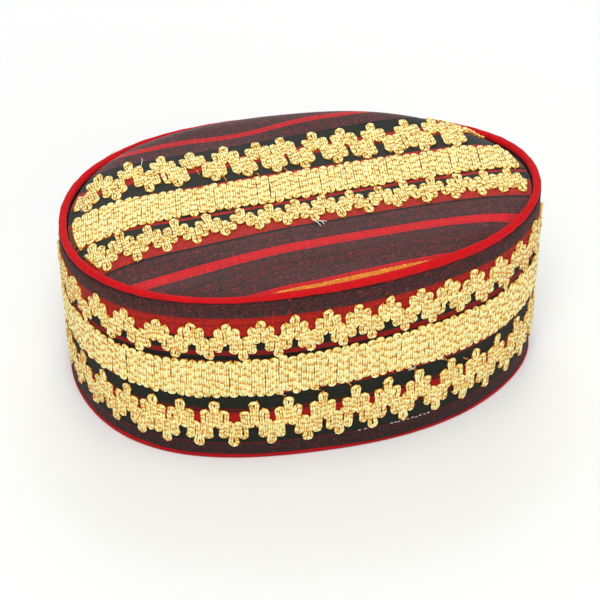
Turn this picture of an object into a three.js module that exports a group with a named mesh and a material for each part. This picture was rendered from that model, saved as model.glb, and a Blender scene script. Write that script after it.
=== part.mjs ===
// Peci: a brimless oval cap of striped cloth, embroidered with couched gold cord.
// Millimetres, +Z up, +X towards the forehead. The cap stands on its lower binding.
// Bands round the wall are placed by their height as a fraction of the wall's own height,
// because the wall is taller at the forehead than at the back.

import * as THREE from 'three';
import { ParametricGeometry } from 'three/addons/geometries/ParametricGeometry.js';
import { mergeVertices } from 'three/addons/utils/BufferGeometryUtils.js';

// ---- Driving dimensions ----

const RIM = {
  halfLength: 107.6,      // outer face of the wall at the rim
  halfWidth: 67.0,
  squareness: 2.17,       // exponent of the oval: 2 is an ellipse
  frontNarrowing: 0.111,  // the forehead end is this much narrower than the middle
  height: 90.9,           // centre line of the piping, halfway along
  rise: 5.95,             // how far the forehead end stands above halfway
};
const BASE = { halfLength: 108.9, halfWidth: 68.8 };
const WALL = 3.0;
const SEAM_GAP = 0.3;     // clearance between neighbouring pieces
const PIPING_RADIUS = 1.95;
const BINDING = { height: 3.5, proud: 0.5, chamfer: 0.5 };
const CROWN = { thickness: 2.0, seamInset: 4.2, seamDrop: 2.0, rollOff: 9 };
const CORD_LAYER = 1.2;   // thickness of the couched gold cord

// Waves of the lower edge where the cloth has been handled: outward shift = cos and sin parts.
const BASE_WAVES = [
  { waves: 3, cos: 0.27, sin: 0.33 },
  { waves: 4, cos: 0.56, sin: -0.46 },
  { waves: 5, cos: 0.46, sin: 0.95 },
];

// The crown panel's puff above its seam: an even lift, a lean and local swells and dents.
const CROWN_LIFT = { middle: 4.2, towardsFar: 2.6, lossAtEnds: 1.2 };
const CROWN_SWELLS = [
  { x: 38, y: 52, reachX: 42, reachY: 15, lift: 1.6 },
  { x: -66, y: -44, reachX: 26, reachY: 9, lift: -1.2 },
  { x: -20, y: -14, reachX: 60, reachY: 26, lift: -0.7 },
];

// Gold round the wall. Edges are fractions of the wall's height.
const WALL_BAND = { low: 0.43, high: 0.658 };
const WALL_ZIGZAGS = {
  side_zigzag_lower: { low: 0.105, high: 0.41, clumps: 38, firstTip: 0.785 },
  side_zigzag_upper: { low: 0.668, high: 0.895, clumps: 41, firstTip: 0.787 },
};

// Gold along the crown. Each strip follows the cloth's stripes, which lie across the cap
// at a slight angle and bend down towards the back end.
const STRIPE_SLOPE = 0.085;
const STRIPE_BEND = { from: -55, depth: 0.0032 };
// `rows` is the number of facets across a strip: more where the panel rolls down to its seam.
const CROWN_BAND = { middle: 7.3, width: 18.6, from: -99, to: 97, rows: 2, steps: 30 };
const CROWN_ZIGZAGS = {
  crown_zigzag_front: { middle: -12.6, width: 18, from: -95.5, to: 95.5, rows: 2, clumps: 16 },
  crown_zigzag_rear: { middle: 30.6, width: 26, from: -93, to: 75, rows: 4, clumps: 12 },
};
const GOLD_REACH = 0.935; // embroidery stops here, short of the crown's seam

// One clump up and one clump down: lower and upper edge across the zigzag's own width.
const ZIGZAG_PERIOD = [
  { low: 0.38, high: 1.0 },
  { low: 0.16, high: 0.8 },
  { low: 0.0, high: 0.58 },
  { low: 0.16, high: 0.8 },
];

const TURN_STEPS = 80;    // facets round a plain ring

const COLOURS = { cloth: '#4a3333', red: '#d2212b', gold: '#ecd896' };

// ---- Shape of the wall ----

function oval(angle, halfLength, halfWidth) {
  const power = 2 / RIM.squareness;
  const bulge = (ratio) => Math.sign(ratio) * Math.abs(ratio) ** power;
  const along = bulge(Math.cos(angle));
  const across = bulge(Math.sin(angle)) * (1 - RIM.frontNarrowing * along);
  return new THREE.Vector2(halfLength * along, halfWidth * across);
}

function rimHeight(angle) {
  return RIM.height + RIM.rise * Math.cos(angle);
}

function wallPlan(angle, z) {
  const up = z / rimHeight(angle);
  const bottom = oval(angle, BASE.halfLength, BASE.halfWidth);
  const wave = BASE_WAVES.reduce(
    (sum, row) => sum + row.cos * Math.cos(row.waves * angle) + row.sin * Math.sin(row.waves * angle),
    0,
  );
  bottom.add(new THREE.Vector2(Math.cos(angle), Math.sin(angle)).multiplyScalar(wave));
  return bottom.lerp(oval(angle, RIM.halfLength, RIM.halfWidth), up);
}

// A point by the wall at a plan angle and height, `out` millimetres outside its outer face.
function wallPoint(angle, z, out, target = new THREE.Vector3()) {
  const step = 0.01;
  const here = wallPlan(angle, z);
  const tangent = wallPlan(angle + step, z).sub(wallPlan(angle - step, z)).normalize();
  return target.set(here.x + tangent.y * out, here.y - tangent.x * out, z);
}

// ---- Shape of the crown panel ----

const crownHalfLength = RIM.halfLength - CROWN.seamInset;
const crownHalfWidth = RIM.halfWidth - CROWN.seamInset;

// How far out a point of the crown is: 0 in the middle, 1 at the seam.
function crownReach(x, y) {
  const along = x / crownHalfLength;
  const across = y / (crownHalfWidth * (1 - RIM.frontNarrowing * along));
  return (Math.abs(along) ** RIM.squareness + Math.abs(across) ** RIM.squareness) ** (1 / RIM.squareness);
}

function crownHeight(x, y) {
  const along = x / crownHalfLength;
  const reach = Math.min(1, crownReach(x, y));
  const puff = CROWN_LIFT.middle
    + CROWN_LIFT.towardsFar * (y / crownHalfWidth)
    - CROWN_LIFT.lossAtEnds * along ** 2;
  const swell = CROWN_SWELLS.reduce(
    (sum, row) => sum + row.lift * Math.exp(-(((x - row.x) / row.reachX) ** 2) - ((y - row.y) / row.reachY) ** 2),
    0,
  );
  const seam = RIM.height + RIM.rise * (x / RIM.halfLength) - CROWN.seamDrop;
  return seam + (puff + swell) * (1 - reach ** CROWN.rollOff);
}

function stripeHeight(x, y0) {
  const bend = Math.max(0, STRIPE_BEND.from - x);
  return y0 + STRIPE_SLOPE * x - STRIPE_BEND.depth * bend ** 2;
}

// ---- Solids ----

// Closes a parametric skin into one body and turns its faces outwards.
function closedBody(geometry) {
  geometry.deleteAttribute('normal');
  geometry.deleteAttribute('uv');
  const body = mergeVertices(geometry, 1e-4);
  const place = body.getAttribute('position');
  const index = body.getIndex();
  const corner = [0, 1, 2].map(() => new THREE.Vector3());
  const kept = [];
  let volume = 0;
  for (let i = 0; i < index.count; i += 3) {
    const ids = [index.getX(i), index.getX(i + 1), index.getX(i + 2)];
    if (new Set(ids).size === 3) {
      ids.forEach((id, k) => corner[k].fromBufferAttribute(place, id));
      volume += corner[0].dot(corner[1].clone().cross(corner[2]));
      kept.push(ids);
    }
  }
  body.setIndex(kept.flatMap(([a, b, c]) => (volume > 0 ? [a, b, c] : [a, c, b])));
  body.computeVertexNormals();
  return body;
}

// A ring round the wall. section(angle, k) gives { z, out } for corner k of the closed section.
function ring(corners, section, steps = TURN_STEPS) {
  const skin = (u, v, target) => {
    const angle = 2 * Math.PI * (Math.round(u * steps) % steps) / steps;
    const corner = section(angle, Math.round(v * corners) % corners, Math.round(u * steps) % steps);
    wallPoint(corner.angle ?? angle, corner.z, corner.out, target);
  };
  return closedBody(new ParametricGeometry(skin, steps, corners));
}

function sideBand() {
  const levels = [0, 0.35, 0.7, 1];
  const outline = [
    ...levels.map((up) => ({ up, out: 0 })),
    ...levels.toReversed().map((up) => ({ up, out: -WALL })),
  ];
  return ring(outline.length, (angle, k) => {
    const bottom = BINDING.height + SEAM_GAP;
    const top = rimHeight(angle) - PIPING_RADIUS - SEAM_GAP;
    return { z: bottom + (top - bottom) * outline[k].up, out: outline[k].out };
  });
}

function topPiping() {
  const sides = 8;
  return ring(sides, (angle, k) => {
    const around = 2 * Math.PI * (k + 0.5) / sides;
    return {
      z: rimHeight(angle) + PIPING_RADIUS * Math.sin(around),
      out: PIPING_RADIUS * (Math.cos(around) - 1),
    };
  });
}

function bottomBinding() {
  const outer = BINDING.proud;
  const inner = -WALL - SEAM_GAP;
  const cut = BINDING.chamfer;
  const outline = [
    { z: 0, out: inner },
    { z: 0, out: outer - cut },
    { z: cut, out: outer },
    { z: BINDING.height - cut, out: outer },
    { z: BINDING.height, out: outer - cut },
    { z: BINDING.height, out: inner },
  ];
  return ring(outline.length, (angle, k) => outline[k]);
}

// Gold on the wall between two edges, each a fraction of the wall's height.
function wallGold(edges, steps) {
  const outline = [
    { edge: 'low', out: SEAM_GAP },
    { edge: 'low', out: SEAM_GAP + CORD_LAYER },
    { edge: 'high', out: SEAM_GAP + CORD_LAYER },
    { edge: 'high', out: SEAM_GAP },
  ];
  return ring(outline.length, (angle, k, step) => {
    const place = edges(angle, step);
    return {
      angle: place.angle,
      z: rimHeight(place.angle) * place[outline[k].edge],
      out: outline[k].out,
    };
  }, steps);
}

// Plan angle at each fraction of the way round the rim, measured along the cloth.
function angleAtFraction(fraction) {
  const samples = 720;
  const lengths = [0];
  for (let i = 1; i <= samples; i += 1) {
    const a = oval(2 * Math.PI * (i - 1) / samples, RIM.halfLength, RIM.halfWidth);
    const b = oval(2 * Math.PI * i / samples, RIM.halfLength, RIM.halfWidth);
    lengths.push(lengths[i - 1] + a.distanceTo(b));
  }
  const wanted = (((fraction % 1) + 1) % 1) * lengths[samples];
  const i = lengths.findIndex((length) => length > wanted);
  const part = (wanted - lengths[i - 1]) / (lengths[i] - lengths[i - 1]);
  return 2 * Math.PI * (i - 1 + part) / samples;
}

function wallBand() {
  return wallGold((angle) => ({ angle, ...WALL_BAND }), TURN_STEPS);
}

function wallZigzag({ low, high, clumps, firstTip }) {
  const steps = clumps * ZIGZAG_PERIOD.length;
  const angles = Array.from({ length: steps }, (_, i) => angleAtFraction(firstTip + i / steps));
  return wallGold((angle, step) => {
    const row = ZIGZAG_PERIOD[step % ZIGZAG_PERIOD.length];
    return {
      angle: angles[step],
      low: low + (high - low) * row.low,
      high: low + (high - low) * row.high,
    };
  }, steps);
}

// Gold on the crown: a flat box bent over the panel. edges(step) gives its two edges in
// fractions of its width.
function crownGold({ middle, width, from, to, rows }, steps, edges) {
  const box = new THREE.BoxGeometry(1, 1, 1, steps, rows, 1);
  const place = box.getAttribute('position');
  for (let i = 0; i < place.count; i += 1) {
    const step = Math.round((place.getX(i) + 0.5) * steps);
    const { low, high } = edges(step);
    const x = from + (to - from) * step / steps;
    const y = stripeHeight(x, middle) + width * (low + (high - low) * (place.getY(i) + 0.5) - 0.5);
    const pull = Math.min(1, GOLD_REACH / crownReach(x, y));
    const lift = place.getZ(i) > 0 ? SEAM_GAP + CORD_LAYER : SEAM_GAP;
    place.setXYZ(i, x * pull, y * pull, crownHeight(x * pull, y * pull) + lift);
  }
  return closedBody(box);
}

function crownBand() {
  const last = CROWN_BAND.steps;
  return crownGold(CROWN_BAND, last, (step) => {
    const cut = step === 0 || step === last ? 0.2 : 0;
    return { low: cut, high: 1 - cut };
  });
}

function crownZigzag(strip) {
  const steps = strip.clumps * ZIGZAG_PERIOD.length;
  return crownGold(strip, steps, (step) => ZIGZAG_PERIOD[step % ZIGZAG_PERIOD.length]);
}

function crownPanel() {
  const reaches = [0, 0.35, 0.6, 0.78, 0.89, 0.95, 0.985, 1];
  const outline = [
    ...reaches.map((reach) => ({ reach, drop: 0 })),
    ...reaches.toReversed().map((reach) => ({ reach, drop: CROWN.thickness })),
  ];
  const rows = outline.length - 1;
  const skin = (u, v, target) => {
    const angle = 2 * Math.PI * (Math.round(u * TURN_STEPS) % TURN_STEPS) / TURN_STEPS;
    const { reach, drop } = outline[Math.round(v * rows)];
    const edge = oval(angle, crownHalfLength, crownHalfWidth);
    const x = edge.x * reach;
    const narrowing = (along) => 1 - RIM.frontNarrowing * along / crownHalfLength;
    const y = edge.y * reach * narrowing(x) / narrowing(edge.x);
    target.set(x, y, crownHeight(x, y) - drop);
  };
  return closedBody(new ParametricGeometry(skin, TURN_STEPS, rows));
}

// ---- Assembly ----

const FINISH = {
  cloth: new THREE.MeshStandardMaterial({ color: COLOURS.cloth, roughness: 0.9, metalness: 0 }),
  red: new THREE.MeshStandardMaterial({ color: COLOURS.red, roughness: 0.75, metalness: 0 }),
  gold: new THREE.MeshStandardMaterial({ color: COLOURS.gold, roughness: 0.45, metalness: 0.3 }),
};

const cap = new THREE.Group();

function addPiece(name, geometry, material) {
  const mesh = new THREE.Mesh(geometry, material);
  mesh.name = name;
  cap.add(mesh);
}

addPiece('side_band', sideBand(), FINISH.cloth);
addPiece('crown', crownPanel(), FINISH.cloth);
addPiece('top_piping', topPiping(), FINISH.red);
addPiece('bottom_binding', bottomBinding(), FINISH.red);
addPiece('side_gold_band', wallBand(), FINISH.gold);
addPiece('crown_gold_band', crownBand(), FINISH.gold);
Object.entries(WALL_ZIGZAGS).forEach(([name, size]) => addPiece(name, wallZigzag(size), FINISH.gold));
Object.entries(CROWN_ZIGZAGS).forEach(([name, size]) => addPiece(name, crownZigzag(size), FINISH.gold));

// The origin is the middle of the cap's footprint, on the surface that it rests on.
const box = new THREE.Box3().setFromObject(cap, true);
const middle = box.getCenter(new THREE.Vector3());
cap.position.set(-middle.x, -middle.y, -box.min.z);

export default cap;
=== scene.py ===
import math

import bmesh
import bpy
import numpy as np
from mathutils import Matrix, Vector


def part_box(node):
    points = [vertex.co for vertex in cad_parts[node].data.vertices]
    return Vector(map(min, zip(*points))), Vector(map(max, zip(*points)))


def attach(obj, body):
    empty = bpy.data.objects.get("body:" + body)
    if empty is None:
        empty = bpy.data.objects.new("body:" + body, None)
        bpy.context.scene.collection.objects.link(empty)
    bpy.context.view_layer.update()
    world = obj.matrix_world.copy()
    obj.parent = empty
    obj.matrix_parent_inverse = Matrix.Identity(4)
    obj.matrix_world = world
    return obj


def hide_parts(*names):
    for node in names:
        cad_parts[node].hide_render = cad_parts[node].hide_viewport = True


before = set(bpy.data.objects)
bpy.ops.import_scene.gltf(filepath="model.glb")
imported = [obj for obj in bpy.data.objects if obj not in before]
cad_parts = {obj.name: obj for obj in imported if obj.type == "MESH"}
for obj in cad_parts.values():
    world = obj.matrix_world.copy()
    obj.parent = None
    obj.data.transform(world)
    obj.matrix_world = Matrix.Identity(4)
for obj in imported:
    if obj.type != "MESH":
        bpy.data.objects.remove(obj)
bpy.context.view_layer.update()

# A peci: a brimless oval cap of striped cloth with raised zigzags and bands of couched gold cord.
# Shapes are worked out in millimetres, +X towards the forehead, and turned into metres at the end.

MM = 0.001
chance = np.random.default_rng(11)

# ---- Sizes of the cap ----

RIM_HALF_LENGTH = 107.6
RIM_HALF_WIDTH = 67.0
BASE_HALF_LENGTH = 108.9
BASE_HALF_WIDTH = 68.8
SQUARENESS = 2.17
FRONT_NARROWING = 0.111
RIM_HEIGHT = 90.9
RIM_RISE = 5.95
WALL_THICKNESS = 3.0
PIPING_RADIUS = 1.8
PIPING_INSET = 1.95
CROWN_THICKNESS = 1.6
CROWN_LIFT = {"middle": 4.2, "far": 2.6, "ends": 1.2}

# The crown is tucked in behind the piping, but on the far side it rolls up and over it.
CROWN_TUCKED = {"inset": 4.2, "drop": 2.0, "roll": 9}
CROWN_ROLLED = {"inset": 2.4, "drop": -0.2, "roll": 26}

# Stripes and gold are laid out on a wall of this height.
NOMINAL_WALL = 90.0

# Waves of the lower edge: waves round the cap, cosine part, sine part.
BASE_WAVES = [(3, 0.27, 0.33), (4, 0.56, -0.46), (5, 0.46, 0.95)]

# Handling has left a slight wave round the middle of the wall.
HANDLED = {"depth": 0.3, "waves": 7, "start": 1.2}

# Dips of the rim: plan angle and spread in degrees, lift.
RIM_DIPS = [(90, 52, -1.5), (320, 16, -1.4), (200, 14, 0.3)]

# Where the piping and the binding are folded thinner or thicker: plan angle and spread, share of height.
PIPING_FOLDS = [(248, 22, -0.52), (306, 18, 0.34)]
BINDING_FOLDS = [(300, 42, -0.34)]

# Hand-sewn unevenness round the cap. Each wave is depth, number and start, and the waves of a row multiply.
PIPING_UNEVEN = [[(0.05, 23, 0.6), (1, 9, 0)], [(0.03, 57, 0)]]
BINDING_UNEVEN = [[(0.12, 11, 0), (1, 4, 1)], [(0.04, 43, 0)]]

# Swells and dents of the crown: place, reach along and across, lift.
CROWN_SWELLS = [
    (34, 54, 46, 15, 2.4), (-66, -44, 26, 9, -1.2), (-20, -14, 60, 26, -0.7), (-38, 48, 14, 7, -0.5),
    (8, -49, 44, 7, -0.6),
]

# ---- Shape of the cap ----


def oval(angle, half_length, half_width):
    """Plan outline: a squarish oval, narrower at the forehead."""
    power = 2 / SQUARENESS
    along = np.sign(np.cos(angle)) * np.abs(np.cos(angle)) ** power
    across = np.sign(np.sin(angle)) * np.abs(np.sin(angle)) ** power * (1 - FRONT_NARROWING * along)
    return np.stack([half_length * along, half_width * across], -1)


def ease(value):
    """A smooth step from 0 to 1."""
    value = np.clip(value, 0, 1)
    return value * value * (3 - 2 * value)


def bumps(angle, table):
    """Smooth rises and dips round the cap, each at a plan angle with a spread, in degrees."""
    total = 0.0
    for middle, spread, lift in table:
        away = (np.degrees(angle) - middle + 180) % 360 - 180
        total = total + lift * np.exp(-((away / spread) ** 2))
    return total


def rim_height(angle):
    return RIM_HEIGHT + RIM_RISE * np.cos(angle) + bumps(angle, RIM_DIPS)


def wall_plan(angle, z):
    wave = sum(c * np.cos(n * angle) + s * np.sin(n * angle) for n, c, s in BASE_WAVES)
    outward = np.stack([np.cos(angle), np.sin(angle)], -1)
    low = oval(angle, BASE_HALF_LENGTH, BASE_HALF_WIDTH) + wave[..., None] * outward
    high = oval(angle, RIM_HALF_LENGTH, RIM_HALF_WIDTH)
    up = (z / rim_height(angle))[..., None]
    wavy = HANDLED["depth"] * np.sin(HANDLED["waves"] * angle + HANDLED["start"])
    handled = wavy * np.sin(math.pi * np.clip(up[..., 0], 0, 1))
    return low + (high - low) * up + handled[..., None] * outward


def wall_frame(angle, z):
    """Point on the wall's outer face and its outward normal, in plan."""
    angle, z = np.broadcast_arrays(np.asarray(angle, float), np.asarray(z, float))
    step = 0.01
    tangent = wall_plan(angle + step, z) - wall_plan(angle - step, z)
    tangent /= np.linalg.norm(tangent, axis=-1, keepdims=True)
    normal = np.stack([tangent[..., 1], -tangent[..., 0], np.zeros_like(angle)], -1)
    point = np.concatenate([wall_plan(angle, z), z[..., None]], -1)
    return point, normal


def wall_point(angle, z, out):
    point, normal = wall_frame(angle, z)
    return point + normal * np.broadcast_to(out, point.shape[:-1])[..., None]


CROWN_HALF_LENGTH = RIM_HALF_LENGTH - CROWN_TUCKED["inset"]
CROWN_HALF_WIDTH = RIM_HALF_WIDTH - CROWN_TUCKED["inset"]
ROLL_STARTS = 0.3       # how far round towards the far side the crown begins to roll
ROLL_RUN = 0.5
SEAM_ZONE = 0.6         # from this reach outwards the crown follows the dips of the rim


def rolled(x, y):
    """0 where the crown's edge is tucked in, 1 on the far side where it rolls over the piping."""
    across = y / CROWN_HALF_WIDTH
    along = x / CROWN_HALF_LENGTH
    towards_far = across / np.maximum(0.2, np.hypot(along, across))
    return ease((towards_far - ROLL_STARTS) / ROLL_RUN)


def crown_value(name, x, y):
    return CROWN_TUCKED[name] + (CROWN_ROLLED[name] - CROWN_TUCKED[name]) * rolled(x, y)


def crown_reach(x, y):
    """0 in the middle of the crown, 1 at its seam."""
    inset = crown_value("inset", x, y)
    along = x / (RIM_HALF_LENGTH - inset)
    across = y / ((RIM_HALF_WIDTH - inset) * (1 - FRONT_NARROWING * along))
    return (np.abs(along) ** SQUARENESS + np.abs(across) ** SQUARENESS) ** (1 / SQUARENESS)


def crown_height(x, y):
    along = x / CROWN_HALF_LENGTH
    reach = np.minimum(1, crown_reach(x, y))
    puff = CROWN_LIFT["middle"] + CROWN_LIFT["far"] * y / CROWN_HALF_WIDTH - CROWN_LIFT["ends"] * along**2
    for at_x, at_y, reach_x, reach_y, lift in CROWN_SWELLS:
        away = ((x - at_x) / reach_x) ** 2 + ((y - at_y) / reach_y) ** 2
        puff = puff + lift * np.exp(-away)
    edge = np.arctan2(y / CROWN_HALF_WIDTH, along)
    seam = RIM_HEIGHT + RIM_RISE * along * CROWN_HALF_LENGTH / RIM_HALF_LENGTH - CROWN_TUCKED["drop"]
    rim_gap = bumps(edge, RIM_DIPS) - (crown_value("drop", x, y) - CROWN_TUCKED["drop"])
    dip = rim_gap * ease((reach - SEAM_ZONE) / (1 - SEAM_ZONE))
    return seam + dip + (puff - dip) * (1 - reach ** crown_value("roll", x, y))


def crown_frame(x, y):
    step = 0.3
    point = np.stack([x, y, crown_height(x, y)], -1)
    slope_x = (crown_height(x + step, y) - crown_height(x - step, y)) / (2 * step)
    slope_y = (crown_height(x, y + step) - crown_height(x, y - step)) / (2 * step)
    normal = np.stack([-slope_x, -slope_y, np.ones_like(slope_x)], -1)
    return point, normal / np.linalg.norm(normal, axis=-1, keepdims=True)


# Stripes cross the crown on a slope. They sink at the forehead's far end and fan out on the near side.
STRIPE_SLOPE = 0.083
LEFT_END_BEND = {"from": -67, "depth": 0.0068, "gone": 40, "fades": 16}
RIGHT_END_BEND = {"from": 55, "depth": 0.0016}
NEAR_FAN = {"from": -10, "slope": 0.125, "starts": -8, "full": -34, "softness": 60}
RIM_FAN = {"slope": 0.08, "starts": -34, "full": -56}

# The last stripes on the far side are wavy: height, length and start of each wave.
FAR_WAVES = [(0.7, 8.0, 1.2), (0.8, 17.0, 0.0)]
FAR_WAVY = {"from": 44, "run": 6}


def left_end_bend(x):
    return LEFT_END_BEND["depth"] * np.maximum(0, LEFT_END_BEND["from"] - x) ** 2


def opened(fan, y0, least):
    """How far a fan of stripes has opened at y0."""
    return np.clip((fan["starts"] - y0) / (fan["starts"] - fan["full"]), least, 1)


def stripe_shift(x, y0):
    """How far a stripe that crosses the middle line at y0 has moved across by x."""
    left = left_end_bend(x) * ease((LEFT_END_BEND["gone"] - y0) / LEFT_END_BEND["fades"])
    right = RIGHT_END_BEND["depth"] * np.maximum(0, x - RIGHT_END_BEND["from"]) ** 2
    near = opened(NEAR_FAN, y0, 0.001)
    run = NEAR_FAN["from"] - x
    fan = near**0.5 * NEAR_FAN["slope"] * (np.sqrt(run**2 + NEAR_FAN["softness"]) + run) / 2
    lifted = opened(RIM_FAN, y0, 0) * RIM_FAN["slope"] * np.maximum(0, x)
    waves = sum(height * np.sin(x / length + start) for height, length, start in FAR_WAVES)
    wave = ease((y0 - FAR_WAVY["from"]) / FAR_WAVY["run"]) * waves
    return STRIPE_SLOPE * x - left - right * near - fan + lifted + wave


def path_length(path):
    """Distance along a path at each of its points."""
    return np.concatenate([[0], np.cumsum(np.linalg.norm(np.diff(path, axis=0), axis=1))])


# Distance round the rim at each plan angle.
RIM_ANGLES = np.linspace(0, 2 * math.pi, 7201)
RIM_DISTANCES = path_length(oval(RIM_ANGLES, RIM_HALF_LENGTH, RIM_HALF_WIDTH))
PERIMETER = RIM_DISTANCES[-1]


def angle_at(distance):
    turns = np.floor(distance / PERIMETER)
    return np.interp(distance - turns * PERIMETER, RIM_DISTANCES, RIM_ANGLES) + 2 * math.pi * turns


def round_the_cap(steps):
    """Plan angles at even spacing along the rim."""
    return angle_at(np.linspace(0, PERIMETER, steps, endpoint=False))


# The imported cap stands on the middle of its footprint, so every shape moves with its piping.
PLAN_SHIFT = np.mean(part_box("top_piping"), axis=0) * (1, 1, 0)


def to_frame(points):
    """Millimetres in the cap's own plan to metres in the frame."""
    return np.asarray(points) * MM + PLAN_SHIFT


# ---- Helpers for objects and nodes ----


def new_object(name, data):
    thing = bpy.data.objects.new(name, data)
    bpy.context.scene.collection.objects.link(thing)
    return thing


def is_socket(value):
    return isinstance(value, bpy.types.NodeSocket)


def add_node(tree, kind, inputs=None, **settings):
    """Adds a node. An input is a value, or a socket to link from."""
    item = tree.nodes.new(kind)
    for name, value in settings.items():
        setattr(item, name, value)
    for key, value in (inputs or {}).items():
        if is_socket(value):
            tree.links.new(value, item.inputs[key])
        else:
            item.inputs[key].default_value = value
    return item


def source(tree, kind, inputs=None, **settings):
    """Adds a node that no other node leads to, and gives its outputs."""
    return add_node(tree, kind, inputs, **settings).outputs


def put(kind, inputs, **settings):
    """Adds a node to the tree that its inputs come from, and gives its outputs."""
    tree = next(value.id_data for value in inputs.values() if is_socket(value))
    return add_node(tree, kind, inputs, **settings).outputs


def maths(operation, *values):
    return put("ShaderNodeMath", dict(enumerate(values)), operation=operation)[0]


def vector(*parts):
    return put("ShaderNodeCombineXYZ", dict(enumerate(parts)))[0]


def random_at(*places):
    """A random value for each place, which is given by one, two or three numbers."""
    seed = {1: places[0]} if len(places) == 1 else {0: vector(*places)}
    return put("ShaderNodeTexWhiteNoise", seed, noise_dimensions=f"{len(places)}D")[0]


def new_group(name, kind, inputs, outputs):
    """A node group with named sockets: inputs are name, type, default."""
    tree = bpy.data.node_groups.new(name, kind)
    for label, socket, default in inputs:
        item = tree.interface.new_socket(label, in_out="INPUT", socket_type="NodeSocket" + socket)
        if default is not None:
            item.default_value = default
    for label, socket in outputs:
        tree.interface.new_socket(label, in_out="OUTPUT", socket_type="NodeSocket" + socket)
    return tree, tree.nodes.new("NodeGroupInput").outputs, tree.nodes.new("NodeGroupOutput").inputs


def srgb(*colour):
    """A colour given as it looks on a screen, 0 to 255, as linear light."""
    return tuple(((c / 255 + 0.055) / 1.055) ** 2.4 if c > 10 else c / 255 / 12.92 for c in colour) + (1,)


# ---- Shader groups ----

# The plain weave, in widths of a thread: how far a fleck runs on either set, and how wide a rib is.
FLECK_LENGTHS = (2.4, 3.0)
RIB_WIDTH = 2.3
THREAD_BOW = 0.4        # share of a thread's height that goes with its roundness across
THREAD_SEEDS = (7.3, 91.7)
FIBRES = {"to_a_ply": 8, "height": 0.08}


def weave_group():
    """Plain weave: the height of its threads, each thread's own value, its flecks and the ribs."""
    tree, given, result = new_group(
        "weave", "ShaderNodeTree",
        [("Along", "Float", 0.0), ("Across", "Float", 0.0), ("Pitch", "Float", 0.5)],
        [("Height", "Float"), ("Thread", "Float"), ("Fleck", "Float"), ("Rib", "Float")],
    )
    along = maths("DIVIDE", given["Along"], given["Pitch"])
    across = maths("DIVIDE", given["Across"], given["Pitch"])
    column = maths("FLOOR", along)
    row = maths("FLOOR", across)
    crosswise = maths("FLOORED_MODULO", maths("ADD", column, row), 2.0)

    def top_thread(first, second):
        """The value of whichever thread lies on top."""
        return put("ShaderNodeMix", {0: crosswise, 2: second, 3: first}, data_type="FLOAT")[0]

    def arch(way):
        return maths("SINE", maths("MULTIPLY", maths("FRACT", way), math.pi))

    def lift(way, other):
        return maths("MULTIPLY", way, maths("MULTIPLY_ADD", other, THREAD_BOW, 1 - THREAD_BOW))

    def fleck(first, second, length):
        slip = random_at(first)
        part = maths("FLOOR", maths("ADD", maths("DIVIDE", second, length), slip))
        return random_at(first, part, length)

    arches = arch(along), arch(across)
    made = {
        "Height": top_thread(lift(*arches), lift(*arches[::-1])),
        "Thread": top_thread(random_at(column, THREAD_SEEDS[0]), random_at(row, THREAD_SEEDS[1])),
        "Fleck": top_thread(fleck(column, row, FLECK_LENGTHS[0]), fleck(row, column, FLECK_LENGTHS[1])),
        "Rib": random_at(maths("FLOOR", maths("DIVIDE", across, RIB_WIDTH))),
    }
    for label, value in made.items():
        tree.links.new(value, result[label])
    return tree


def twist_group():
    """Ply lines of a twisted cord from its length and its way round."""
    tree, given, result = new_group(
        "cord_twist", "ShaderNodeTree",
        [("Length", "Float", 0.0), ("Round", "Float", 0.0), ("Lay", "Float", 1.6), ("Plies", "Float", 3.0)],
        [("Height", "Float"), ("Ply", "Float")],
    )
    wound = maths("ADD", maths("DIVIDE", given["Length"], given["Lay"]),
                  maths("MULTIPLY", given["Round"], given["Plies"]))
    ridge = maths("ABSOLUTE", maths("SINE", maths("MULTIPLY", wound, math.pi)))
    fibres = maths("SINE", maths("MULTIPLY", wound, math.pi * FIBRES["to_a_ply"]))
    tree.links.new(maths("MULTIPLY_ADD", fibres, FIBRES["height"], ridge), result["Height"])
    tree.links.new(ridge, result["Ply"])
    return tree


WEAVE = weave_group()
TWIST = twist_group()

# ---- Materials ----


def new_material(name, sockets):
    """A material, with what is the same all over it set on its shader."""
    material = bpy.data.materials.new(name)
    material.use_nodes = True
    tree = material.node_tree
    shader = tree.nodes["Principled BSDF"].inputs
    for label, value in sockets.items():
        shader[label].default_value = value
    return material, tree, shader


def finish_skin(shader, colour, height, strength, depth):
    """Colour and relief over the surface. The relief's depth is in millimetres."""
    bump = put("ShaderNodeBump", {"Height": height, "Strength": strength, "Distance": depth * MM})
    colour.id_data.links.new(colour, shader["Base Color"])
    colour.id_data.links.new(bump[0], shader["Normal"])


def uv_parts(tree, name):
    """The piece's own map."""
    return put("ShaderNodeSeparateXYZ", {0: source(tree, "ShaderNodeUVMap", uv_map=name)[0]})


def cloth_places(tree, name, width, height):
    """Millimetres along and across, from the piece's own map."""
    parts = uv_parts(tree, name)
    return maths("MULTIPLY", parts[0], width), maths("MULTIPLY", parts[1], height)


def tinted(colour, tone):
    return put("ShaderNodeVectorMath", {0: colour, "Scale": tone}, operation="SCALE")[0]


def colour_ramp(place, stops, interpolation):
    """A ramp from pairs of position and colour."""
    ramp = add_node(place.id_data, "ShaderNodeValToRGB", {0: place})
    ramp.color_ramp.interpolation = interpolation
    elements = ramp.color_ramp.elements
    while len(elements) < len(stops):
        elements.new(0.5)
    for element, (position, colour) in zip(elements, stops):
        element.position = position
        element.color = srgb(*colour)
    return ramp.outputs[0]


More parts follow.
